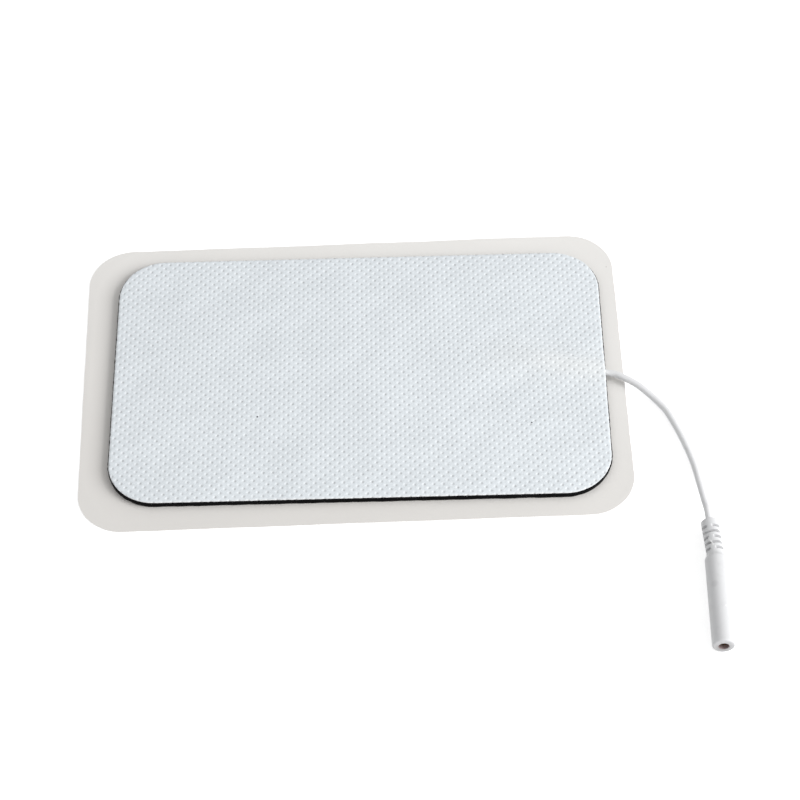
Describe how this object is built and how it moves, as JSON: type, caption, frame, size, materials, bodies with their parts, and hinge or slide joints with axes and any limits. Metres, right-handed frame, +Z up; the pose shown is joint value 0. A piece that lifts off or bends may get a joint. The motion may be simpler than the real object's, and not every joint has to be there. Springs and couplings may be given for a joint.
{
  "type": "tens electrode pad",
  "caption": "Self-adhesive TENS electrode pad: embossed fabric back, carbon film and gel on a release liner, with a short lead ending in a pin socket.",
  "frame": {"origin": "centre of the release liner's underside, on the table", "axes": "+X along the pad's length, towards the short edge that the lead leaves; +Y across it; +Z up through the pad's back"},
  "size_m": [0.1651, 0.1344, 0.0057],
  "materials": {
    "liner": "thin clear film, slightly milky",
    "gel": "wet-looking, clear gel that shows the black film",
    "film": "smooth black carbon-filled film",
    "fabric": "pale cool white non-woven with a fine pattern of embossed dots",
    "jacket": "satin white soft plastic",
    "moulding": "satin white moulded plastic",
    "contact": "bright turned brass",
    "conductor": "tinned copper strands"
  },
  "bodies": {
    "root": {"release_liner": "liner", "hydrogel_layer": "gel", "carbon_film": "film", "backing_fabric": "fabric", "lead_wire": "jacket", "conductor_strands": "conductor", "connector_body": "moulding", "socket_contact": "contact", "crimped_conductor": "conductor"}
  },
  "joints": []
}
